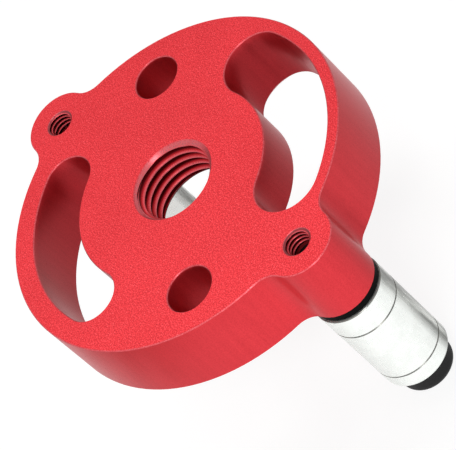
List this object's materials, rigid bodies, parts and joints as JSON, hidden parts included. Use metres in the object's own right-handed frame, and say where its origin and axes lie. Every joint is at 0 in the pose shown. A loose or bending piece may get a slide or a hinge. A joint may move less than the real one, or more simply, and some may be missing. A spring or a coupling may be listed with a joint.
{
  "type": "self centering doweling jig",
  "caption": "Round jig that centres a screw-in drill bush on a board's edge between two rollers, shown with its set of drill bushes beside it.",
  "frame": {"origin": "on the axis of the central thread, at the level of the body's underside, where the board's edge meets it", "axes": "+Z away from the board, +X through the two ears"},
  "size_m": [0.0975, 0.1565, 0.0486],
  "materials": {
    "red_anodised": "fine blasted and red anodised",
    "zinc_steel": "satin zinc plated",
    "nickel_steel": "nickel plated, knurled head",
    "black_oxide": "black oxide",
    "black_washer": "black oxide"
  },
  "bodies": {
    "jig": {"jig_body": "red_anodised", "shoulder_screw_a": "black_oxide", "spacer_washer_a": "black_washer", "shoulder_screw_b": "black_oxide", "spacer_washer_b": "black_washer"},
    "roller_a": {"upper_collar_a": "zinc_steel", "roller_sleeve_a": "zinc_steel", "lower_collar_a": "zinc_steel"},
    "roller_b": {"upper_collar_b": "zinc_steel", "roller_sleeve_b": "zinc_steel", "lower_collar_b": "zinc_steel"},
    "bush_03": {"drill_bush_03": "nickel_steel"},
    "bush_04": {"drill_bush_04": "nickel_steel"},
    "bush_05": {"drill_bush_05": "nickel_steel"},
    "bush_06": {"drill_bush_06": "nickel_steel"},
    "bush_07": {"drill_bush_07": "nickel_steel"},
    "bush_08": {"drill_bush_08": "nickel_steel"},
    "bush_10": {"drill_bush_10": "nickel_steel"},
    "bush_12": {"drill_bush_12": "nickel_steel"}
  },
  "joints": [
    {"name": "roller_a_spin", "type": "hinge", "parent": "jig", "child": "roller_a", "pos_m": [0.039, 0, -0.0155], "axis": [0, 0, 1], "continuous": true},
    {"name": "roller_b_spin", "type": "hinge", "parent": "jig", "child": "roller_b", "pos_m": [-0.039, 0, -0.0155], "axis": [0, 0, 1], "continuous": true},
    {"name": "bush_03_lift", "type": "slide", "parent": "jig", "child": "bush_03", "axis": [0, 0, 1], "range_m": [0, 0.04]},
    {"name": "bush_04_lift", "type": "slide", "parent": "jig", "child": "bush_04", "axis": [0, 0, 1], "range_m": [0, 0.04]},
    {"name": "bush_05_lift", "type": "slide", "parent": "jig", "child": "bush_05", "axis": [0, 0, 1], "range_m": [0, 0.04]},
    {"name": "bush_06_lift", "type": "slide", "parent": "jig", "child": "bush_06", "axis": [0, 0, 1], "range_m": [0, 0.04]},
    {"name": "bush_07_lift", "type": "slide", "parent": "jig", "child": "bush_07", "axis": [0, 0, 1], "range_m": [0, 0.04]},
    {"name": "bush_08_lift", "type": "slide", "parent": "jig", "child": "bush_08", "axis": [0, 0, 1], "range_m": [0, 0.04]},
    {"name": "bush_10_lift", "type": "slide", "parent": "jig", "child": "bush_10", "axis": [0, 0, 1], "range_m": [0, 0.04]},
    {"name": "bush_12_lift", "type": "slide", "parent": "jig", "child": "bush_12", "axis": [0, 0, 1], "range_m": [0, 0.04]}
  ]
}
